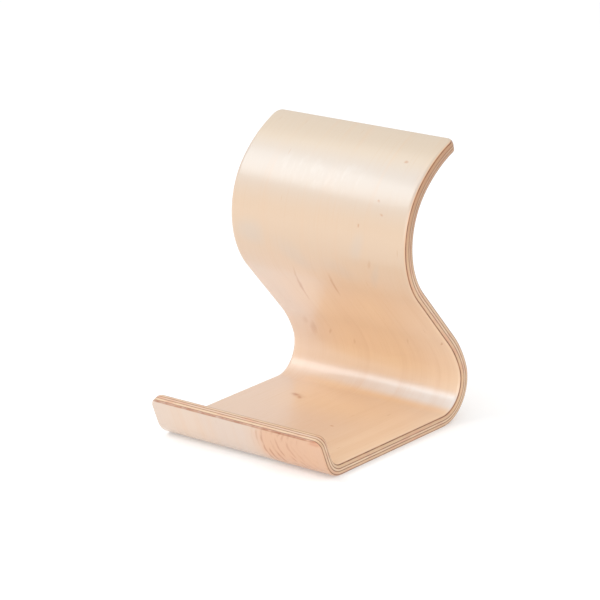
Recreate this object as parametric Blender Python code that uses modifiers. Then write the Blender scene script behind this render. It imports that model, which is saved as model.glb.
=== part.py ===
"""Bentwood phone stand: one S-shaped sheet of five glued veneers.

The sheet is press-formed from a flat blank that widens a little from lip to top. Seen from its side it starts
as a low lip that keeps the phone from sliding off, turns into the flat base, curls up
through the back bend, leans forward and ends in a broad crest that the phone leans on.
Every veneer follows the same centre line at its own distance from it, so the plies
stay parallel through all the bends.

Frame: metres, +X across the width, +Y towards the back bend, +Z up. The origin is the
centre of the footprint, on the surface that the stand rests on.
"""

import math

import bmesh
import bpy
from mathutils import Vector

# --- Driving dimensions (metres and degrees) -------------------------------------

LIP_WIDTH = 0.0827            # of the blank at the lip's end
TOP_WIDTH = 0.0865            # of the blank at its top end
LIP_CORNER_RADIUS = 0.0035    # rounding of the two corners of the lip
TOP_CORNER_RADIUS = 0.0035    # rounding of the two corners of the top end

FACE_VENEER = 0.0005          # thickness of each of the two outer plies
CROSS_VENEER = 0.00105        # thickness of each ply under a face veneer
CENTRE_VENEER = 0.0009        # thickness of the middle ply
GLUE_LINE = 0.0002            # gap between neighbouring plies

LIP_TILT = 67.0               # angle between the lip and the base
LIP_LENGTH = 0.0117
LIP_BEND_RADIUS = 0.0074      # all radii are those of the sheet's centre line
BASE_LENGTH = 0.0674
BACK_BEND_RADIUS = 0.0140
BACK_BEND_TURN = 113.5
EASE_RADIUS = 0.0450          # the back bend opens out before the straight stretch
EASE_TURN = 20.0
RISER_LENGTH = 0.0316
CREST_RADIUS = 0.0314
CREST_TURN = 87.5
SHOULDER_RADIUS = 0.0525      # the crest flattens, then drops a little at its end
SHOULDER_TURN = 24.0
TOP_CURL_RADIUS = 0.0255
TOP_CURL_TURN = 8.0

ARC_STEP = 6.0                # degrees of bend in each facet
CORNER_STEPS = 6              # facets in each rounded corner
SHARP_ANGLE = 30.0            # edges that turn more than this are drawn sharp

# The centre line as (length or radius, turn): a turn of 0 is a straight stretch, a
# positive turn curls upwards from the base, a negative one the other way.
CENTRE_LINE = (
    (LIP_LENGTH, 0.0),
    (LIP_BEND_RADIUS, LIP_TILT),
    (BASE_LENGTH, 0.0),
    (BACK_BEND_RADIUS, BACK_BEND_TURN),
    (EASE_RADIUS, EASE_TURN),
    (RISER_LENGTH, 0.0),
    (CREST_RADIUS, -CREST_TURN),
    (SHOULDER_RADIUS, -SHOULDER_TURN),
    (TOP_CURL_RADIUS, -TOP_CURL_TURN),
)

# The plies from the phone's side to the underside: name, thickness and finish
# (red, green, blue, roughness).
PLIES = (
    ("phone_side_face_veneer", FACE_VENEER, (0.80, 0.60, 0.42, 0.38)),
    ("front_cross_veneer", CROSS_VENEER, (0.62, 0.42, 0.27, 0.55)),
    ("centre_veneer", CENTRE_VENEER, (0.76, 0.55, 0.37, 0.55)),
    ("rear_cross_veneer", CROSS_VENEER, (0.60, 0.40, 0.25, 0.55)),
    ("underside_face_veneer", FACE_VENEER, (0.78, 0.57, 0.40, 0.38)),
)

SHEET_THICKNESS = sum(ply[1] for ply in PLIES) + GLUE_LINE * (len(PLIES) - 1)


# --- The centre line ---------------------------------------------------------------

def stretch_length(size, turn):
    """Length of one stretch of the centre line."""
    if turn == 0.0:
        return size
    return size * math.radians(abs(turn))


def walk(point, heading, size, turn, distance):
    """Move a distance along one stretch; gives the new (y, z) point and heading."""
    y, z = point
    if turn == 0.0:
        moved = (y + distance * math.cos(heading), z + distance * math.sin(heading))
        return moved, heading
    side = math.copysign(1.0, turn)
    centre = (y - side * size * math.sin(heading), z + side * size * math.cos(heading))
    turned = heading + side * distance / size
    moved = (centre[0] + side * size * math.sin(turned),
             centre[1] - side * size * math.cos(turned))
    return moved, turned


PATH_LENGTH = sum(stretch_length(size, turn) for size, turn in CENTRE_LINE)


def point_at(distance):
    """The (y, z) point and heading of the centre line at a distance from the lip's end."""
    point = (0.0, 0.0)
    heading = -math.radians(LIP_TILT)
    left = distance
    for size, turn in CENTRE_LINE:
        length = stretch_length(size, turn)
        point, heading = walk(point, heading, size, turn, min(left, length))
        left -= length
        if left <= 0.0:
            break
    return point, heading


def station_distances():
    """Distances along the centre line at which every ply has a row of vertices."""
    distances = []
    start = 0.0
    for size, turn in CENTRE_LINE:
        length = stretch_length(size, turn)
        steps = max(1, round(abs(turn) / ARC_STEP))
        distances += [start + length * step / steps for step in range(steps)]
        start += length
    for step in range(1, CORNER_STEPS + 1):
        rise = 1.0 - math.cos(math.pi / 2.0 * step / CORNER_STEPS)
        distances.append(LIP_CORNER_RADIUS * rise)
        distances.append(PATH_LENGTH - TOP_CORNER_RADIUS * rise)
    distances.append(PATH_LENGTH)
    kept = []
    for distance in sorted(distances):
        if not kept or distance - kept[-1] > LIP_WIDTH / 1000.0:
            kept.append(distance)
    kept[-1] = PATH_LENGTH
    return kept


def half_width(distance):
    """Half of the blank's width, which narrows through the rounded corners."""
    half = (LIP_WIDTH + (TOP_WIDTH - LIP_WIDTH) * distance / PATH_LENGTH) / 2.0
    from_top = PATH_LENGTH - distance
    for radius, from_end in ((LIP_CORNER_RADIUS, distance), (TOP_CORNER_RADIUS, from_top)):
        if from_end < radius:
            half += math.sqrt(radius ** 2 - (radius - from_end) ** 2) - radius
    return half


STATIONS = station_distances()


def offset_point(distance, offset):
    """The (y, z) point beside the centre line; a positive offset is on the phone's side."""
    (y, z), heading = point_at(distance)
    return y - offset * math.sin(heading), z + offset * math.cos(heading)


def sheet_limits():
    """Lowest z, and lowest and highest y, of the whole sheet in the path's own axes."""
    half = SHEET_THICKNESS / 2.0
    rim = [offset_point(distance, side) for distance in STATIONS for side in (-half, half)]
    return min(z for _, z in rim), min(y for y, _ in rim), max(y for y, _ in rim)


LOWEST_Z, FRONT_Y, REAR_Y = sheet_limits()
MIDDLE_Y = (FRONT_Y + REAR_Y) / 2.0


# --- The plies ---------------------------------------------------------------------

def pressed_surface(name, offset):
    """A flat blank, cut to the rounded outline and bent along the centre line."""
    rows = len(STATIONS) - 1
    blank = bmesh.new()
    bmesh.ops.create_grid(blank, x_segments=1, y_segments=rows, size=0.5)
    for vertex in blank.verts:
        side = math.copysign(1.0, vertex.co.x)
        distance = STATIONS[round((vertex.co.y + 0.5) * rows)]
        y, z = offset_point(distance, offset)
        vertex.co = Vector((side * half_width(distance), y - MIDDLE_Y, z - LOWEST_Z))
    mesh = bpy.data.meshes.new(name)
    blank.to_mesh(mesh)
    blank.free()
    return mesh


def thicken(obj, thickness):
    """Give the surface its veneer's thickness, half of it on each side."""
    solidify = obj.modifiers.new("veneer_thickness", "SOLIDIFY")
    solidify.thickness = thickness
    solidify.offset = 0.0
    solidify.use_even_offset = True
    bpy.context.view_layer.update()
    evaluated = obj.evaluated_get(bpy.context.evaluated_depsgraph_get())
    surface = obj.data
    obj.modifiers.clear()
    obj.data = bpy.data.meshes.new_from_object(evaluated)
    obj.data.name = obj.name
    bpy.data.meshes.remove(surface)


def wood_material(name, finish):
    """The plain lacquered-wood finish of one ply."""
    material = bpy.data.materials.new(name)
    material.use_nodes = True
    shader = material.node_tree.nodes["Principled BSDF"]
    red, green, blue, roughness = finish
    shader.inputs["Base Color"].default_value = (red, green, blue, 1.0)
    shader.inputs["Roughness"].default_value = roughness
    shader.inputs["Metallic"].default_value = 0.0
    return material


def add_ply(collection, name, thickness, finish, offset):
    """Build one veneer with its middle surface at the offset from the centre line."""
    obj = bpy.data.objects.new(name, pressed_surface(name, offset))
    collection.objects.link(obj)
    thicken(obj, thickness)
    obj.data.materials.append(wood_material(name, finish))
    obj.data.shade_smooth()
    obj.data.set_sharp_from_angle(angle=math.radians(SHARP_ANGLE))


def build_stand():
    """Stack the plies from the phone's side of the sheet to its underside."""
    stand = bpy.data.collections.new("phone_stand")
    bpy.context.scene.collection.children.link(stand)
    surface = SHEET_THICKNESS / 2.0
    for name, thickness, finish in PLIES:
        add_ply(stand, name, thickness, finish, surface - thickness / 2.0)
        surface -= thickness + GLUE_LINE


for leftover in list(bpy.data.objects):
    bpy.data.objects.remove(leftover)
build_stand()
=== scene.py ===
"""Looks of the bentwood phone stand.

The five plies of the sheet are pressed once more from its centre line, with sanded edges
and with the glue films between them. They get lacquered birch materials, and they stand in
a plain white studio.

The flat blank has three coordinates, in metres: x across the sheet, s along it from the
lip's end, and the depth under the face that the phone touches. Each layer keeps them as its
"blank" attribute, so that the grain follows the bends.
"""

import math
from collections import namedtuple

import bpy
import numpy as np
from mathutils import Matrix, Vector


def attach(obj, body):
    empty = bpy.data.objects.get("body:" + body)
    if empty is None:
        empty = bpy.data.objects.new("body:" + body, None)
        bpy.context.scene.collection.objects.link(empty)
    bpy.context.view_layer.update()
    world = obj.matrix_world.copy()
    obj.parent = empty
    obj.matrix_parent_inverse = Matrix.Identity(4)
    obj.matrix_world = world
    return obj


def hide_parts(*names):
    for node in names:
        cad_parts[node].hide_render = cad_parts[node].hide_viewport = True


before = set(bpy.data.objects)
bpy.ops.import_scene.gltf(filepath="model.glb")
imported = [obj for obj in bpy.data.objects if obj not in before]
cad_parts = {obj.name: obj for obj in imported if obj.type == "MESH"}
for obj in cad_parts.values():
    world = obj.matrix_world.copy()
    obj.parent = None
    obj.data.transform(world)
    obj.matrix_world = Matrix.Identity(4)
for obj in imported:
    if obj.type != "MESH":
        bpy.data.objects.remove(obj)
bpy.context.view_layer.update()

MM = 0.001

# --- The sheet, as in the CAD part ---------------------------------------------------------

LIP_WIDTH = 82.7 * MM
TOP_WIDTH = 86.5 * MM
LIP_CORNER_RADIUS = 3.5 * MM
TOP_CORNER_RADIUS = 3.5 * MM
FACE_VENEER = 0.5 * MM
CROSS_VENEER = 1.05 * MM
CENTRE_VENEER = 0.9 * MM
GLUE_LINE = 0.2 * MM
SHEET_THICKNESS = 2 * FACE_VENEER + 2 * CROSS_VENEER + CENTRE_VENEER + 4 * GLUE_LINE

PLIES = (                    # (CAD node, thickness) from the phone's side
    ("phone_side_face_veneer", FACE_VENEER),
    ("front_cross_veneer", CROSS_VENEER),
    ("centre_veneer", CENTRE_VENEER),
    ("rear_cross_veneer", CROSS_VENEER),
    ("underside_face_veneer", FACE_VENEER),
)

LIP_TILT = 67.0
CENTRE_LINE = (              # (length or radius, turn in degrees) from the lip's end
    (11.7 * MM, 0.0),        # lip
    (7.4 * MM, LIP_TILT),    # lip bend
    (67.4 * MM, 0.0),        # base
    (14.0 * MM, 113.5),      # back bend
    (45.0 * MM, 20.0),       # ease
    (31.6 * MM, 0.0),        # riser
    (31.4 * MM, -87.5),      # crest
    (52.5 * MM, -24.0),      # shoulder
    (25.5 * MM, -8.0),       # top curl
)

# --- Finish of the real sheet --------------------------------------------------------------

FACE_ROUNDING = 2.1 * MM     # sanded radius of the edge towards the phone's side
BACK_ROUNDING = 0.9 * MM     # sanded radius of the edge towards the underside
END_SHARE = 0.6              # the two ends are sanded back by this share of the long sides
ARRIS = 0.03 * MM            # how far each ply's own arris is worn back
ARRIS_REACH = 2.0 * ARRIS    # how deep into the ply that wear goes
FILM_RECESS = 0.04 * MM      # how far the glue films sit inside the worn edge
FILM_CLEARANCE = 0.01 * MM   # gap between a glue film and the plies beside it
BEND_EASING = 5.0 * MM       # length over which the press lets one bend run into the next

# --- Fineness of the meshes ----------------------------------------------------------------

LINE_SAMPLES = 8000          # points of the eased centre line
STATION_STEP = 0.6 * MM      # spacing of the rows of vertices along the sheet
CORNER_STEPS = 16            # steps round each rounded corner of the blank
EDGE_RINGS = 13              # rings of vertices from one face of a layer to the other
SHARP_ANGLE = math.radians(50.0)


# --- The centre line -----------------------------------------------------------------------

STRETCH_LENGTHS = [size if turn == 0.0 else size * math.radians(abs(turn))
                   for size, turn in CENTRE_LINE]
PATH_LENGTH = sum(STRETCH_LENGTHS)
BASE_MIDDLE = sum(STRETCH_LENGTHS[:2]) + STRETCH_LENGTHS[2] / 2.0


def eased_bend(distances):
    """The curvature along the centre line, with each bend eased into the next."""
    bend = np.zeros(len(distances))
    start = 0.0
    for (size, turn), length in zip(CENTRE_LINE, STRETCH_LENGTHS):
        inside = (distances >= start) & (distances <= start + length)
        if turn != 0.0:
            bend[inside] = math.copysign(1.0 / size, turn)
        start += length
    step = distances[1]
    reach = round(BEND_EASING / step / 2.0)
    window = np.hanning(2 * reach + 3)[1:-1]
    padded = np.pad(bend, reach, mode="edge")
    return np.convolve(padded, window / window.sum(), mode="valid")


def between(values):
    """The mean of each value and the next."""
    return (values[1:] + values[:-1]) / 2.0


def running_sum(values, step):
    """The integral of evenly spaced values, from nought."""
    return np.concatenate([[0.0], np.cumsum(values) * step])


def eased_line():
    """Distance, y, z and heading along the centre line.

    The base lies level on the floor, and the stand is centred front to back.
    """
    distances = np.linspace(0.0, PATH_LENGTH, LINE_SAMPLES)
    step = distances[1]
    heading = running_sum(between(eased_bend(distances)), step)
    middle = np.searchsorted(distances, BASE_MIDDLE)
    heading -= heading[middle]
    y = running_sum(np.cos(between(heading)), step)
    z = running_sum(np.sin(between(heading)), step)
    half = SHEET_THICKNESS / 2.0
    rim_y = np.concatenate([y + half * np.sin(heading), y - half * np.sin(heading)])
    y -= (rim_y.min() + rim_y.max()) / 2.0
    z += half - z[middle]
    return distances, y, z, heading


LINE_S, LINE_Y, LINE_Z, LINE_HEADING = eased_line()


def press(x, s, depth):
    """World points of blank coordinates."""
    offset = SHEET_THICKNESS / 2.0 - depth
    heading = np.interp(s, LINE_S, LINE_HEADING)
    y = np.interp(s, LINE_S, LINE_Y) - offset * np.sin(heading)
    z = np.interp(s, LINE_S, LINE_Z) + offset * np.cos(heading)
    return np.stack([x, y, z], axis=-1)


# --- The outline ---------------------------------------------------------------------------

def half_width(s):
    """Half of the blank's width, which grows evenly from the lip to the top."""
    return (LIP_WIDTH + (TOP_WIDTH - LIP_WIDTH) * s / PATH_LENGTH) / 2.0


def corner(radius, half, inset):
    """A rounded corner of the blank, as half widths and distances from the blank's end."""
    sweep = np.linspace(0.0, math.pi / 2.0, CORNER_STEPS + 1)
    end_inset = END_SHARE * inset
    x = half - inset - (radius - inset) * (1.0 - np.sin(sweep))
    from_end = end_inset + (radius - end_inset) * (1.0 - np.cos(sweep))
    return x, from_end


def outline(inset):
    """One side of the blank's outline from lip to top, pulled in by inset: its x and s."""
    first, last = LIP_CORNER_RADIUS, PATH_LENGTH - TOP_CORNER_RADIUS
    lip_x, lip_s = corner(LIP_CORNER_RADIUS, half_width(first), inset)
    top_x, from_top = corner(TOP_CORNER_RADIUS, half_width(last), inset)
    rows = round((last - first) / STATION_STEP)
    side_s = np.linspace(first, last, rows + 1)[1:-1]
    x = np.concatenate([lip_x, half_width(side_s) - inset, top_x[::-1]])
    s = np.concatenate([lip_s, side_s, PATH_LENGTH - from_top[::-1]])
    return x, s


def sanded_inset(depth):
    """How far the rounded edge lies inside the full outline at a depth in the sheet."""
    inset = 0.0
    below = SHEET_THICKNESS - depth
    for from_face, radius in ((depth, FACE_ROUNDING), (below, BACK_ROUNDING)):
        if from_face < radius:
            inset = radius - math.sqrt(radius ** 2 - (radius - from_face) ** 2)
    return inset


def ply_inset(depth, upper, lower):
    """The sanded inset, plus the ply's own worn arris next to a glue line."""
    inset = sanded_inset(depth)
    for arris, on_face in ((upper, upper <= 0.0), (lower, lower >= SHEET_THICKNESS)):
        near = abs(depth - arris)
        if not on_face and near < ARRIS_REACH:
            inset += ARRIS * (1.0 - near / ARRIS_REACH) ** 2
    return inset


# --- Layers of the sheet -------------------------------------------------------------------

def layer_depths(upper, lower):
    """Depths of a layer's rings, which are close together where its edge turns."""
    share = (1.0 - np.cos(np.linspace(0.0, math.pi, EDGE_RINGS))) / 2.0
    return upper + (lower - upper) * share


def blank_ring(depth, inset):
    """Blank coordinates once round the sheet at a depth, pulled in by inset."""
    side_x, side_s = outline(inset)
    x = np.concatenate([-side_x, side_x[::-1]])
    s = np.concatenate([side_s, side_s[::-1]])
    return np.stack([x, s, np.full(len(x), depth)], axis=-1)


def layer_faces(count, rings):
    """Outward faces of a layer whose rings have count vertices: strips over both sides, and
    then bands round the edge.
    """
    faces = []
    last = (rings - 1) * count
    for row in range(count // 2 - 1):
        far = count - 1 - row
        faces.append((row, far, far - 1, row + 1))
        faces.append((last + far, last + row, last + row + 1, last + far - 1))
    for start in range(0, last, count):
        below = start + count
        for index in range(count):
            following = (index + 1) % count
            faces.append((start + following, below + following, below + index, start + index))
    return faces


def layer_object(name, depths, insets):
    """A closed layer of the sheet, with a ring round its edge at each depth."""
    rings = [blank_ring(depth, inset) for depth, inset in zip(depths, insets)]
    blank = np.concatenate(rings)
    points = press(blank[:, 0], blank[:, 1], blank[:, 2])
    mesh = bpy.data.meshes.new(name)
    mesh.from_pydata(points.tolist(), [], layer_faces(len(rings[0]), len(rings)))
    attribute = mesh.attributes.new("blank", "FLOAT_VECTOR", "POINT")
    attribute.data.foreach_set("vector", blank.astype(np.float32).ravel())
    mesh.shade_smooth()
    mesh.set_sharp_from_angle(angle=SHARP_ANGLE)
    layer = bpy.data.objects.new(name, mesh)
    bpy.context.scene.collection.objects.link(layer)
    return layer


# --- Colours, given as sRGB from 0 to 255 --------------------------------------------------

def linear(red, green, blue):
    """An sRGB colour from 0 to 255 as linear RGBA."""
    channels = []
    for value in (red, green, blue):
        share = value / 255.0
        channels.append(share / 12.92 if share <= 0.04045 else ((share + 0.055) / 1.055) ** 2.4)
    return (*channels, 1.0)


# The two face veneers
BIRCH = linear(212, 180, 153)
# warm clouds on the underside, and painted bounce light on the phone's side
BIRCH_WARM_AND_BOUNCE = linear(224, 189, 151)
# painted light on the crest: painted shade on the crest and the curl, and a pale grey painted
# reflection under the crest's highlight; the pale tone also serves the pale patches
CREST_PAINTED_SHADE = linear(197, 170, 144)
PALE_PATCH_AND_REFLECTION = linear(186, 172, 159)
CURL_PAINTED_SHADE = linear(194, 175, 153)
BIRCH_MARGIN = linear(226, 195, 164)
BIRCH_STREAK = linear(204, 162, 126)
BIRCH_FIBRE = linear(190, 146, 108)
# painted glints of the ripple figure in the crest's highlight
RIPPLE_GLINT = linear(200, 192, 184)
# painted highlight along the back bend
BEND_HIGHLIGHT = linear(216, 209, 204)
MARK_BROWN = linear(168, 100, 50)
PITH_FLECK = linear(176, 128, 92)

# The front of the lip
LIP_PINK = linear(198, 176, 160)
CATHEDRAL_WARM = linear(202, 151, 112)
CATHEDRAL_DARK = linear(160, 96, 58)
SINGED = linear(142, 78, 32)
CORNER_BLUSH = linear(190, 126, 90)

# The edge of the sheet
LONG_GRAIN = linear(212, 181, 147)
CUT_END = linear(206, 174, 148)
END_GRAIN = linear(205, 169, 132)
CREST_EDGE = linear(164, 120, 84)
EDGE_PEACH = linear(214, 166, 128)
EDGE_BLUSH = linear(204, 148, 118)
EDGE_STREAK = linear(184, 136, 102)
EDGE_PORE = linear(152, 106, 76)
GLUE_STAIN = linear(158, 108, 70)
GLUE = linear(104, 64, 42)


# --- Places on the blank, in millimetres ---------------------------------------------------

# A ramp goes smoothly from its least value at one place to its most at another. A zone goes
# from 0 at its start to 1 where it is full, and from where it fades back to 0 at its end.
Ramp = namedtuple("Ramp", "start end least most", defaults=(0.0, 1.0))
Zone = namedtuple("Zone", "start full fade end")

# The phone's side
CREST_PAINTED_LIGHT = (              # painted light, each taking over from the one before, from the riser upwards: darker tones as painted shade on the crest and the curl, and between them a pale grey tone as painted reflection under the crest's highlight
    (Ramp(150, 186), CREST_PAINTED_SHADE),
    (Ramp(190, 209), PALE_PATCH_AND_REFLECTION),
    (Ramp(211, 222), CURL_PAINTED_SHADE),
)
MARGIN_ACROSS = Ramp(12, 36)
MARGIN_ALONG = Ramp(130, 175, 0.8, 0.0)
# the painted glints lie within the crest's highlight
RIPPLE_ACROSS = Zone(-30, -16, 6, 24)
RIPPLE_ALONG = Zone(199, 205, 211, 217)
# painted bounce light on the base and up the riser
BOUNCE_ACROSS = Zone(-38, -10, 12, 40)
BOUNCE_BASE = Zone(50, 76, 92, 99)
BOUNCE_RISER = Zone(96, 112, 140, 182)
# the painted highlight along the inside of the back bend
BEND_HIGHLIGHT_ACROSS = Ramp(-40, 36, 0.15, 0.95)
BEND_HIGHLIGHT_ALONG = Zone(91, 96.5, 99.5, 105)
SANDED_DEPTH = Ramp(0.10, 0.45)      # of the edge that is sanded through the veneer
SANDED_ALONG = Ramp(150, 200, 0.3, 0.9)

# The underside, which is the lip's front as well
PINK_ALONG = Ramp(25, 60, 1.0, 0.0)
CLOUD_ALONG = Ramp(10, 45, 0.3, 1.0)
SINGE_ALONG = Ramp(0.3, 1.0, 0.9, 0.0)

# The edge of the sheet
LONG_SIDE = Ramp(38.5, 41.0)         # out from the middle, so 1 at the two long sides
BROWN_ALONG = Ramp(165, 200, 0.0, 0.7)
GLUE_SOAK = Ramp(0.02, 0.16, 0.75, 0.0)      # away from a glue line

# Ellipses on the blank as (x, s, turn in degrees, half width, half length).
CATHEDRAL = (47.0, 4.0, -6.0, 41.0, 22.0)
SINGED_CORNER = (38.8, 1.8, 62.0, 1.5, 4.4)

# Wood marks and pale patches as (x, s, turn in degrees, half width, half length, strength).
PHONE_SIDE_MARKS = (
    (-16.4, 163.5, -14.0, 0.6, 6.5, 0.30),    # the left fleck, in three overlapping lengths
    (-18.1, 155.8, -11.0, 1.0, 5.4, 0.48),
    (-19.0, 149.5, -8.0, 0.6, 6.0, 0.30),
    (1.8, 163.5, -8.0, 0.8, 6.2, 0.36),       # the right fleck, in two
    (1.1, 158.0, -6.0, 0.6, 4.4, 0.26),
    (-28.7, 121.2, -14.0, 1.9, 4.8, 0.30),    # smudges low on the riser
    (-31.2, 125.5, -20.0, 1.4, 3.2, 0.20),
    (-20.2, 121.2, -30.0, 0.6, 2.2, 0.30),
    (-20.6, 73.0, 75.0, 1.3, 2.1, 0.42),      # the pin knot on the base
    (-16.9, 71.0, 40.0, 1.0, 2.2, 0.46),
    (-19.0, 72.6, 75.0, 2.3, 4.2, 0.34),
    (13.7, 51.7, 80.0, 0.6, 1.1, 0.55),       # single specks
    (31.2, 219.3, 85.0, 0.7, 1.1, 0.50),
    (27.0, 201.8, 70.0, 0.5, 0.8, 0.42),
    (20.0, 191.8, 0.0, 0.5, 0.8, 0.50),
    (29.8, 197.3, 80.0, 0.5, 0.9, 0.38),
    (24.6, 177.8, -20.0, 0.8, 2.2, 0.20),
    (38.6, 131.2, -35.0, 0.5, 1.8, 0.46),
    (-9.0, 118.0, -16.0, 0.7, 2.0, 0.20),
    (20.5, 127.0, -18.0, 0.5, 2.6, 0.20),
)
UNDERSIDE_MARKS = (
    (8.0, 188.0, -10.0, 0.6, 5.2, 0.50),
    (-21.5, 176.0, -6.0, 0.5, 4.0, 0.42),
    (14.0, 60.0, 70.0, 1.5, 1.9, 0.50),       # a pin knot under the base
    (-12.0, 140.0, 12.0, 0.8, 3.0, 0.34),
    (26.0, 120.0, -12.0, 0.5, 4.4, 0.38),
)
PALE_PATCHES = (
    (19.5, 184.0, -22.0, 3.2, 7.5, 0.34),
    (-33.0, 182.0, 10.0, 8.0, 6.0, 0.45),
    (-12.0, 176.0, 60.0, 5.0, 11.0, 0.28),
    (8.0, 172.0, 75.0, 4.0, 10.0, 0.22),
    (26.0, 172.0, -25.0, 1.8, 7.0, 0.30),
    (-36.0, 150.0, 0.0, 9.0, 30.0, 0.12),
)
MARK_CORE = 0.1              # a mark is at full strength out to this share of its ellipse,
PATCH_CORE = 0.2             # a pale patch out to this share,
MARK_END = 1.3               # and both have faded out at this many times the ellipse


# --- Figures in the wood -------------------------------------------------------------------

# A figure is a noise with its scale across, along and through the sheet, in cycles per
# metre, and its place in the noise. Where the noise climbs from low to high, the figure's
# share of the colour goes from least to most.
Figure = namedtuple("Figure", "scale place detail roughness distortion low high least most")

# Both face veneers
STREAK = Figure((140, 8, 0), (0, 0, 2), 3.0, 0.55, 0.5, 0.46, 0.72, 0.0, 0.22)
FIBRE = Figure((1900, 38, 0), (0, 0, 3), 2.0, 0.6, 0.0, 0.50, 0.80, 0.0, 0.11)
PITH = Figure((1100, 110, 0), (0, 5, 4), 1.0, 0.5, 0.0, 0.74, 0.84, 0.0, 0.45)

# The phone's side, and then the underside
RIPPLE = Figure((360, 130, 0), (4, 6, 2), 2.0, 0.6, 0.0, 0.42, 0.74, 0.0, 0.3)
# the clouds that break up the painted bounce light
BOUNCE_CLOUD = Figure((22, 14, 0), (0, 3, 1), 2.0, 0.5, 0.0, 0.2, 0.7, 0.65, 1.0)
UNDERSIDE_CLOUD = Figure((26, 15, 0), (7, 3, 1), 2.0, 0.5, 0.0, 0.4, 0.7, 0.0, 0.6)
TORN = Figure((330, 110, 0), (8, 2, 5), 2.0, 0.6, 0.0, 0.38, 0.62, 0.0, 1.0)
SINGE_BLOTCH = Figure((210, 210, 0), (3, 1, 1), 2.0, 0.5, 0.0, 0.3, 0.6, 0.45, 1.0)

# The edges of the plies between the faces, and the glue
BLUSH = Figure((110, 110, 600), (0, 1, 0), 2.0, 0.6, 0.0, 0.48, 0.66, 0.0, 0.7)
CUT_FIBRE = Figure((90, 90, 6500), (0, 0, 2), 3.0, 0.6, 0.0, 0.45, 0.80, 0.0, 0.45)
PORE = Figure((2600, 2600, 5200), (0, 4, 3), 1.0, 0.5, 0.0, 0.62, 0.74, 0.0, 0.5)
GLUE_PATCH = Figure((260, 260, 0), (0, 0, 0), 2.0, 0.5, 0.0, 0.35, 0.7, 0.0, 1.0)

# What each veneer adds to its figures' place, so that no two look the same
PHONE_SIDE_SEED = 0.0
UNDERSIDE_SEED = 7.3
FRONT_CROSS_SEED = 11.0
CENTRE_SEED = 23.0
REAR_CROSS_SEED = 37.0

# A ragged outline as its spread, and the scale of its noise in cycles per metre.
RAGGED_PATCH = (2.0 * MM, 60.0)
RAGGED_CATHEDRAL = (3.0 * MM, 75.0)
RAGGED_MARK = (0.5 * MM, 400.0)
STRAY_ALONG = 3.0            # the spread along the sheet is this many times as wide

# The cathedral figure is a warm ellipse with dark rings in it, which follow a sine of the
# distance from its middle. Smooth steps are written as (low, high, least, most).
CATHEDRAL_SHARE = 0.75       # how strong the warm ellipse is
CATHEDRAL_RIM = (0.80, 1.02, 1.0, 0.0)
CATHEDRAL_RINGS = 105.0      # radians of the sine from the middle to the rim
RING_LINE = (-0.3, 1.0, 0.0, 0.7)
RING_RISE = (0.2, 0.9, 0.0, 1.0)
CORNER_FADE = (0.3, 1.2, 0.65, 0.0)

# The lacquer's roughness is a smooth step of the noise of the fibres.
LACQUER_ROUGHNESS = (0.3, 0.8, 0.44, 0.54)
COAT_ROUGHNESS = 0.24
BUMP_STRENGTH = 0.12
FACE_BUMP = 0.02 * MM
EDGE_BUMP = 0.015 * MM
GLUE_ROUGHNESS = 0.55


# --- Node helpers --------------------------------------------------------------------------

class Tree:
    """A material's nodes, built by short calls that return output sockets."""

    def __init__(self, name):
        self.material = bpy.data.materials.new(name)
        self.material.use_nodes = True
        self.nodes = self.material.node_tree.nodes
        self.links = self.material.node_tree.links

    def feed(self, socket, value):
        """Links an output to an input socket, or gives the input a plain value."""
        if isinstance(value, bpy.types.NodeSocket):
            self.links.new(value, socket)
        else:
            socket.default_value = value

    def shade(self, inputs):
        """Feeds the material's shader by the names of its inputs."""
        for name, value in inputs.items():
            self.feed(self.nodes["Principled BSDF"].inputs[name], value)

    def node(self, kind, settings, *ordered, **named):
        """A new node with its settings, and with its inputs fed in order or by name."""
        node = self.nodes.new(kind)
        for key, value in settings.items():
            setattr(node, key, value)
        for socket, value in zip(node.inputs, ordered):
            self.feed(socket, value)
        for name, value in named.items():
            self.feed(node.inputs[name], value)
        return node

    def math(self, operation, *values):
        return self.node("ShaderNodeMath", {"operation": operation}, *values).outputs[0]

    def vector(self, operation, *values):
        return self.node("ShaderNodeVectorMath", {"operation": operation}, *values).outputs

    def product(self, first, *others):
        for value in others:
            first = self.math("MULTIPLY", first, value)
        return first

    def smooth(self, value, low, high, least=0.0, most=1.0):
        """A smooth step from least, where the value is low, to most, where it is high."""
        return self.node("ShaderNodeMapRange", {"interpolation_type": "SMOOTHSTEP"},
                         value, low, high, least, most).outputs[0]

    def ramp(self, value, places):
        return self.smooth(value, places.start * MM, places.end * MM,
                           places.least, places.most)

    def zone(self, value, places):
        rise = self.smooth(value, places.start * MM, places.full * MM)
        fall = self.smooth(value, places.fade * MM, places.end * MM, 1.0, 0.0)
        return self.product(rise, fall)

    def mix(self, share, colour, tone):
        """The colour turned towards the tone by a share."""
        node = self.node("ShaderNodeMix", {"data_type": "RGBA"}, share)
        first, second = node.inputs[6:8]      # its two inputs for colours
        self.feed(first, colour)
        self.feed(second, tone)
        return node.outputs[2]                # its output for a colour

    def noise(self, blank, figure, seed=0.0):
        """The noise of a figure over the blank. Another seed gives other wood."""
        across, along, through = figure.place
        spread = self.node("ShaderNodeMapping", {}, Vector=blank, Scale=figure.scale,
                           Location=(across + seed, along, through))
        return self.node("ShaderNodeTexNoise", {}, Vector=spread.outputs[0], Scale=1.0,
                         Detail=figure.detail, Roughness=figure.roughness,
                         Distortion=figure.distortion).outputs[0]

    def share(self, noise, figure):
        """A figure's share of the colour, from its noise."""
        return self.smooth(noise, figure.low, figure.high, figure.least, figure.most)


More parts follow.
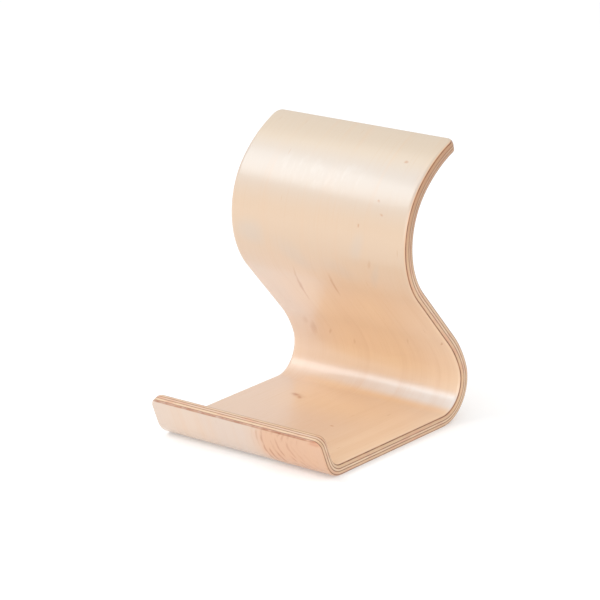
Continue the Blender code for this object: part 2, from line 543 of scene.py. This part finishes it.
def blank_axes(tree):
    """The blank's coordinates as a vector, and then x, s and depth one by one."""
    blank = tree.node("ShaderNodeAttribute", {"attribute_name": "blank"}).outputs["Vector"]
    x, s, depth = tree.node("ShaderNodeSeparateXYZ", {}, blank).outputs
    return blank, x, s, depth


def ellipse(tree, blank, x, s, turn, half_wide, half_long):
    """Distance from the middle of a turned ellipse on the blank, with 1 on its rim."""
    turned = tree.node("ShaderNodeMapping", {"vector_type": "TEXTURE"}, Vector=blank,
                       Location=(x * MM, s * MM, 0.0), Rotation=(0.0, 0.0, math.radians(turn)),
                       Scale=(half_wide * MM, half_long * MM, 1.0))
    return tree.vector("LENGTH", turned.outputs[0])["Value"]


def ragged(tree, blank, amount, scale):
    """The blank's coordinates pushed about, so that what is drawn on them is ragged."""
    spread = tree.node("ShaderNodeMapping", {}, Vector=blank, Scale=(scale, scale, 0.0))
    noise = tree.node("ShaderNodeTexNoise", {}, Vector=spread.outputs[0], Scale=1.0)
    centred = tree.vector("SUBTRACT", noise.outputs["Color"], (0.5, 0.5, 0.5))[0]
    reach = (amount, STRAY_ALONG * amount, 0.0)
    return tree.vector("MULTIPLY_ADD", centred, reach, blank)[0]


def marks(tree, blank, listed, core):
    """Coverage of all the listed marks together, each fading out from its core."""
    total = 0.0
    for *place, strength in listed:
        away = ellipse(tree, blank, *place)
        total = tree.math("ADD", total, tree.smooth(away, core, MARK_END, strength, 0.0))
    return tree.math("MINIMUM", total, 1.0)


# --- Materials -----------------------------------------------------------------------------

def lacquer(tree, colour, fibre, bump_height):
    """Satin clear lacquer over wood: a soft coat, with the fibres telegraphing through."""
    bump = tree.node("ShaderNodeBump", {}, Height=fibre, Strength=BUMP_STRENGTH,
                     Distance=bump_height)
    tree.shade({
        "Base Color": colour,
        "Roughness": tree.smooth(fibre, *LACQUER_ROUGHNESS),
        "Coat Weight": 1.0,
        "Coat Roughness": COAT_ROUGHNESS,
        "Normal": bump.outputs[0],
    })


def grain(tree, colour, blank, seed):
    """Long soft streaks, fine fibres and short pith flecks, all along the sheet."""
    streak = tree.noise(blank, STREAK, seed)
    fibre = tree.noise(blank, FIBRE, seed)
    pith = tree.noise(blank, PITH, seed)
    colour = tree.mix(tree.share(streak, STREAK), colour, BIRCH_STREAK)
    colour = tree.mix(tree.share(fibre, FIBRE), colour, BIRCH_FIBRE)
    colour = tree.mix(tree.share(pith, PITH), colour, PITH_FLECK)
    return colour, fibre


def brown_marks(tree, colour, blank, listed):
    """Flecks, knots and specks with ragged outlines."""
    coverage = marks(tree, ragged(tree, blank, *RAGGED_MARK), listed, MARK_CORE)
    return tree.mix(coverage, colour, MARK_BROWN)


def stain_beside_glue(tree, colour, depth, upper, lower):
    """Glue soaks a little way into a ply, darkening it beside each glue line."""
    for arris in (upper, lower):
        if 0.0 < arris < SHEET_THICKNESS:
            away = tree.math("ABSOLUTE", tree.math("SUBTRACT", depth, arris))
            colour = tree.mix(tree.ramp(away, GLUE_SOAK), colour, GLUE_STAIN)
    return colour


def phone_side_tones(tree, x, s):
    """Birch with painted light on the crest: darker, greyer tones as painted shade, with a pale
    grey painted reflection under its highlight. It is lighter at its right margin.
    """
    colour = BIRCH
    for ramp, tone in CREST_PAINTED_LIGHT:
        colour = tree.mix(tree.ramp(s, ramp), colour, tone)
    margin = tree.product(tree.ramp(x, MARGIN_ACROSS), tree.ramp(s, MARGIN_ALONG))
    return tree.mix(margin, colour, BIRCH_MARGIN)


def crest_ripple_glints(tree, colour, blank, x, s):
    """The birch's ripple figure, painted as faint pale glints only within the crest's
    highlight.
    """
    ripple = tree.share(tree.noise(blank, RIPPLE), RIPPLE)
    there = tree.product(tree.zone(s, RIPPLE_ALONG), tree.zone(x, RIPPLE_ACROSS))
    return tree.mix(tree.product(ripple, there), colour, RIPPLE_GLINT)


def painted_bounce_light(tree, colour, blank, x, s):
    """Painted bounce light: warmer, brighter wood in clouds along the middle of the base and up
    the riser, where the base and the riser light each other.
    """
    along = tree.math("MAXIMUM", tree.zone(s, BOUNCE_RISER), tree.zone(s, BOUNCE_BASE))
    cloud = tree.share(tree.noise(blank, BOUNCE_CLOUD), BOUNCE_CLOUD)
    bounce_share = tree.product(along, tree.zone(x, BOUNCE_ACROSS), cloud)
    return tree.mix(bounce_share, colour, BIRCH_WARM_AND_BOUNCE)


def painted_bend_highlight(tree, colour, x, s):
    """A painted highlight: a paler band along the inside of the back bend, stronger to the
    right.
    """
    highlit = tree.product(tree.zone(s, BEND_HIGHLIGHT_ALONG), tree.ramp(x, BEND_HIGHLIGHT_ACROSS))
    return tree.mix(highlit, colour, BEND_HIGHLIGHT)


def phone_side_material(upper, lower):
    """The face veneer that the phone touches."""
    tree = Tree("birch_phone_side")
    blank, x, s, depth = blank_axes(tree)
    # painted light follows: shade and reflection on the crest, glints in its highlight, bounce
    # light on the base and riser, and a highlight in the back bend
    colour = phone_side_tones(tree, x, s)
    colour = crest_ripple_glints(tree, colour, blank, x, s)
    colour = painted_bounce_light(tree, colour, blank, x, s)
    patches = marks(tree, ragged(tree, blank, *RAGGED_PATCH), PALE_PATCHES, PATCH_CORE)
    colour = tree.mix(patches, colour, PALE_PATCH_AND_REFLECTION)
    colour = painted_bend_highlight(tree, colour, x, s)
    colour, fibre = grain(tree, colour, blank, PHONE_SIDE_SEED)
    colour = brown_marks(tree, colour, blank, PHONE_SIDE_MARKS)
    sanded = tree.product(tree.ramp(depth, SANDED_DEPTH), tree.ramp(s, SANDED_ALONG))
    colour = tree.mix(sanded, colour, EDGE_PEACH)
    colour = stain_beside_glue(tree, colour, depth, upper, lower)
    lacquer(tree, colour, fibre, FACE_BUMP)
    return tree.material


def underside_tones(tree, blank, s):
    """Birch with warm clouds, pinkish and calmer at the lip."""
    colour = tree.mix(tree.ramp(s, PINK_ALONG), BIRCH, LIP_PINK)
    cloud = tree.share(tree.noise(blank, UNDERSIDE_CLOUD), UNDERSIDE_CLOUD)
    clouded = tree.product(cloud, tree.ramp(s, CLOUD_ALONG))
    return tree.mix(clouded, colour, BIRCH_WARM_AND_BOUNCE)


def cathedral(tree, colour, blank, stray):
    """The cathedral figure at the lip's right: a warm ellipse with torn, darker rings."""
    away = ellipse(tree, stray, *CATHEDRAL)
    inside = tree.smooth(away, *CATHEDRAL_RIM)
    wave = tree.math("SINE", tree.product(away, CATHEDRAL_RINGS))
    torn = tree.share(tree.noise(blank, TORN), TORN)
    line = tree.product(tree.smooth(wave, *RING_LINE), tree.smooth(away, *RING_RISE), torn)
    colour = tree.mix(tree.product(inside, CATHEDRAL_SHARE), colour, CATHEDRAL_WARM)
    return tree.mix(tree.product(line, inside), colour, CATHEDRAL_DARK)


def singed_arris(tree, colour, blank, stray, s):
    """The sanding belt has singed the lip's front arris, and blushed its right corner."""
    blotch = tree.share(tree.noise(blank, SINGE_BLOTCH), SINGE_BLOTCH)
    singe = tree.product(tree.ramp(s, SINGE_ALONG), blotch)
    colour = tree.mix(singe, colour, SINGED)
    blush = tree.smooth(ellipse(tree, stray, *SINGED_CORNER), *CORNER_FADE)
    return tree.mix(blush, colour, CORNER_BLUSH)


def underside_material(upper, lower):
    """The face veneer that stands on the table and shows on the lip's front."""
    tree = Tree("birch_underside")
    blank, _, s, depth = blank_axes(tree)
    stray = ragged(tree, blank, *RAGGED_CATHEDRAL)
    colour = underside_tones(tree, blank, s)
    colour = cathedral(tree, colour, blank, stray)
    colour = singed_arris(tree, colour, blank, stray, s)
    colour, fibre = grain(tree, colour, blank, UNDERSIDE_SEED)
    colour = brown_marks(tree, colour, blank, UNDERSIDE_MARKS)
    colour = stain_beside_glue(tree, colour, depth, upper, lower)
    lacquer(tree, colour, fibre, FACE_BUMP)
    return tree.material


def core_material(name, grain_across, upper, lower, seed):
    """A ply between the faces, of which only the sanded and lacquered edge shows.

    An edge along the grain is pale. One that cuts the grain is a little darker, and dotted
    with pores.
    """
    tree = Tree(name)
    blank, x, s, depth = blank_axes(tree)
    at_side = tree.ramp(tree.math("ABSOLUTE", x), LONG_SIDE)
    end_grain = at_side if grain_across else tree.math("SUBTRACT", 1.0, at_side)
    side_tone, end_tone = (END_GRAIN, LONG_GRAIN) if grain_across else (LONG_GRAIN, CUT_END)
    colour = tree.mix(at_side, end_tone, side_tone)
    colour = tree.mix(tree.share(tree.noise(blank, BLUSH, seed), BLUSH), colour, EDGE_BLUSH)
    browned = tree.product(at_side, tree.ramp(s, BROWN_ALONG))
    colour = tree.mix(browned, colour, CREST_EDGE)
    fibre = tree.noise(blank, CUT_FIBRE, seed)
    colour = tree.mix(tree.share(fibre, CUT_FIBRE), colour, EDGE_STREAK)
    pores = tree.product(tree.share(tree.noise(blank, PORE, seed), PORE), end_grain)
    colour = tree.mix(pores, colour, EDGE_PORE)
    colour = stain_beside_glue(tree, colour, depth, upper, lower)
    lacquer(tree, colour, fibre, EDGE_BUMP)
    return tree.material


def film_material():
    """Cured glue in the joints, in darker and lighter patches."""
    tree = Tree("cured_glue")
    blank = blank_axes(tree)[0]
    patch = tree.share(tree.noise(blank, GLUE_PATCH), GLUE_PATCH)
    tree.shade({"Base Color": tree.mix(patch, GLUE, GLUE_STAIN), "Roughness": GLUE_ROUGHNESS})
    return tree.material


# --- The plies and the films ---------------------------------------------------------------

def ply_limits():
    """Upper and lower depth of every ply, from the phone's side."""
    limits = []
    depth = 0.0
    for _, thickness in PLIES:
        limits.append((depth, depth + thickness))
        depth += thickness + GLUE_LINE
    return limits


def ply_materials(limits):
    return (
        phone_side_material(*limits[0]),
        core_material("birch_front_cross_ply", True, *limits[1], FRONT_CROSS_SEED),
        core_material("birch_centre_ply", False, *limits[2], CENTRE_SEED),
        core_material("birch_rear_cross_ply", True, *limits[3], REAR_CROSS_SEED),
        underside_material(*limits[4]),
    )


def build_plies(limits):
    for (name, _), (upper, lower), material in zip(PLIES, limits, ply_materials(limits)):
        depths = layer_depths(upper, lower)
        insets = [ply_inset(depth, upper, lower) for depth in depths]
        ply = layer_object(f"bent_{name}", depths, insets)
        ply.data.materials.append(material)
        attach(ply, "root")
        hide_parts(name)


def build_films(limits):
    material = film_material()
    for number, (above, below) in enumerate(zip(limits, limits[1:]), start=1):
        depths = layer_depths(above[1] + FILM_CLEARANCE, below[0] - FILM_CLEARANCE)
        insets = [sanded_inset(depth) + ARRIS + FILM_RECESS for depth in depths]
        film = layer_object(f"glue_film_{number}", depths, insets)
        film.data.materials.append(material)
        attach(film, "root")


# --- Camera and studio ---------------------------------------------------------------------

WHITE = (1.0, 1.0, 1.0, 1.0)

AIM = Vector((-12.05, 9.52, 48.17)) * MM
CAMERA_AZIMUTH = 37.32
CAMERA_ELEVATION = 17.17
CAMERA_DISTANCE = 1.0916
CAMERA_LENS = 165.79
CAMERA_SENSOR = 36.0
CAMERA_NEAREST = 0.01

SOFTBOX_TINT = (0.93, 0.975, 1.0)    # daylight tubes, a little cooler than the room
SOFTBOXES = (                # (name, azimuth, elevation, distance, width, height, radiance)
    ("key_softbox", -52.0, 43.0, 1.0, 0.60, 0.38, 3.8),
    ("key_spill", -62.0, 62.0, 1.0, 0.7, 0.4, 1.5),
    ("fill_softbox", 25.0, 14.0, 1.5, 2.4, 0.9, 1.75),
)
WORLD_STRENGTH = 0.90

FLOOR_SIZE = 8.0
FLOOR_COLOUR = (0.78, 0.78, 0.78, 1.0)
FLOOR_ROUGHNESS = 0.9
FLOOR_GLOW = 0.22


def direction(azimuth, elevation):
    """Unit vector away from the object; azimuth 0 is its front, and 90 is +X."""
    turn, rise = math.radians(azimuth), math.radians(elevation)
    return Vector((math.sin(turn) * math.cos(rise), -math.cos(turn) * math.cos(rise),
                   math.sin(rise)))


def place(obj, azimuth, elevation, distance):
    """Puts a camera or a lamp in the scene, facing AIM."""
    away = direction(azimuth, elevation)
    obj.location = AIM + away * distance
    obj.rotation_euler = away.to_track_quat("Z", "Y").to_euler()
    bpy.context.scene.collection.objects.link(obj)


def add_camera():
    data = bpy.data.cameras.new("camera")
    data.sensor_width = CAMERA_SENSOR
    data.lens = CAMERA_LENS
    data.clip_start = CAMERA_NEAREST
    camera = bpy.data.objects.new("camera", data)
    place(camera, CAMERA_AZIMUTH, CAMERA_ELEVATION, CAMERA_DISTANCE)
    bpy.context.scene.camera = camera


def add_softbox(name, azimuth, elevation, distance, width, height, radiance):
    """A softbox of a given radiance, on the scale of the world's strength."""
    data = bpy.data.lights.new(name, "AREA")
    data.shape = "RECTANGLE"
    data.size = width
    data.size_y = height
    data.energy = radiance * math.pi * width * height
    data.color = SOFTBOX_TINT
    place(bpy.data.objects.new(name, data), azimuth, elevation, distance)


def add_white_world():
    world = bpy.data.worlds.new("white_studio")
    world.use_nodes = True
    background = world.node_tree.nodes["Background"]
    background.inputs["Color"].default_value = WHITE
    background.inputs["Strength"].default_value = WORLD_STRENGTH
    bpy.context.scene.world = world


def add_floor():
    bpy.ops.mesh.primitive_plane_add(size=FLOOR_SIZE, location=(0.0, 0.0, 0.0))
    floor = bpy.context.object
    floor.name = "floor"
    tree = Tree("pale_floor")
    tree.shade({"Base Color": FLOOR_COLOUR, "Roughness": FLOOR_ROUGHNESS,
                "Emission Color": WHITE, "Emission Strength": FLOOR_GLOW})
    floor.data.materials.append(tree.material)


def add_studio():
    add_white_world()
    for softbox in SOFTBOXES:
        add_softbox(*softbox)
    add_floor()


bpy.context.scene.view_settings.view_transform = "Standard"
add_camera()
PLY_LIMITS = ply_limits()
build_plies(PLY_LIMITS)
build_films(PLY_LIMITS)
add_studio()
